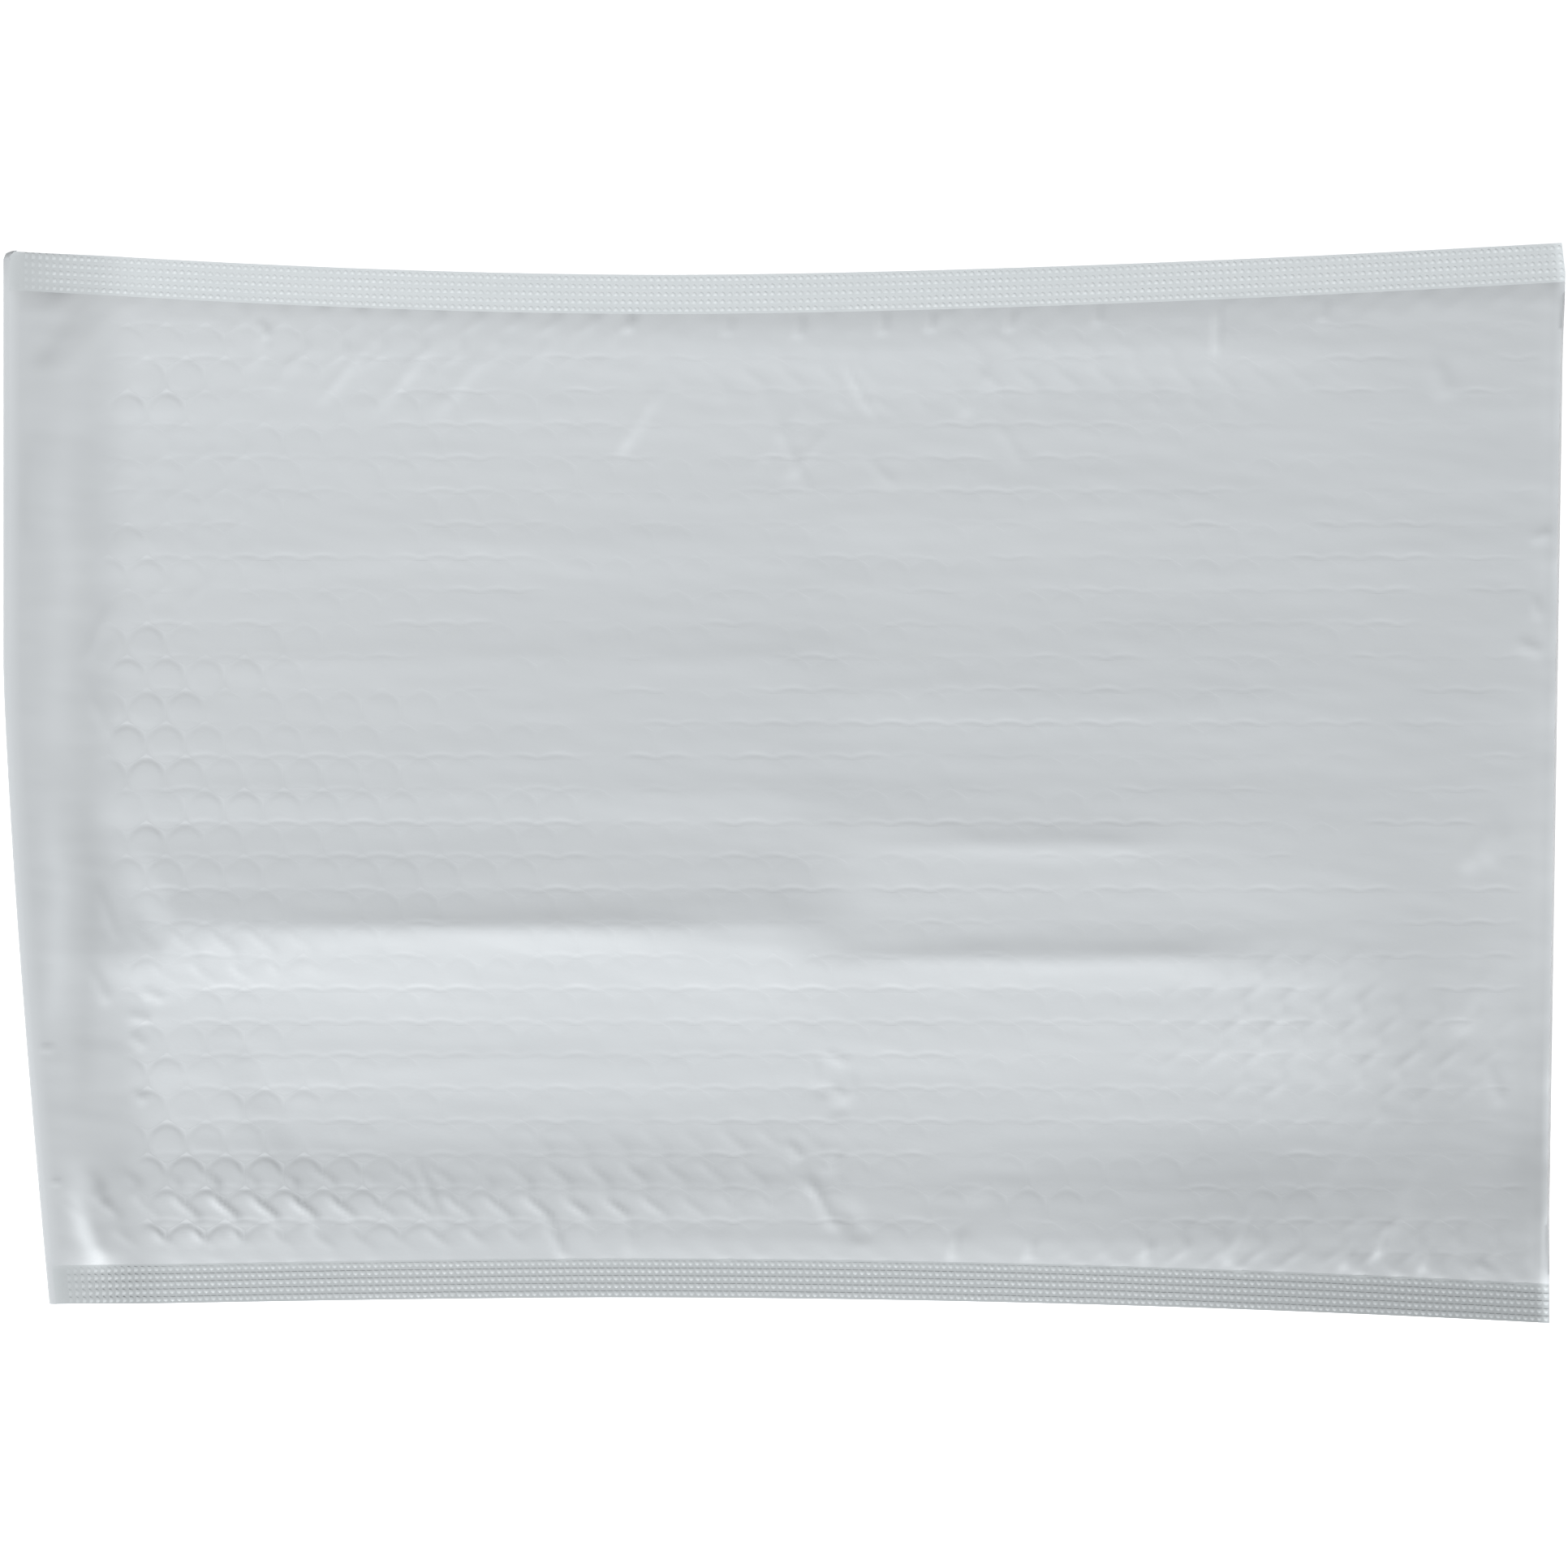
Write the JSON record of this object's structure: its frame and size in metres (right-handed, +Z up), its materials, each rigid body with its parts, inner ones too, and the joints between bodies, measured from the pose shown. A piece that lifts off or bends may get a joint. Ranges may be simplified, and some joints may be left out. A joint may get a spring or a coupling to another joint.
{
  "type": "padded envelope",
  "caption": "Padded poly envelope, empty and lying flat, with crimped side seals, a quilted bubble lining inside and its flap folded under.",
  "frame": {"origin": "middle of the outline, on the plane that the envelope rests on", "axes": "+X from the flap fold to the bottom fold, +Y from the near crimped seal to the far one, +Z up from the rest plane"},
  "size_m": [0.4599, 0.3172, 0.0106],
  "materials": {
    "satin_film": "white satin poly film",
    "bubble_film": "milky bubble film",
    "adhesive": "tacky hot-melt adhesive",
    "liner_paper": "coated paper"
  },
  "bodies": {
    "root": {"outer_film": "satin_film", "bubble_lining": "bubble_film", "adhesive_strip": "adhesive", "release_liner": "liner_paper"}
  },
  "joints": []
}
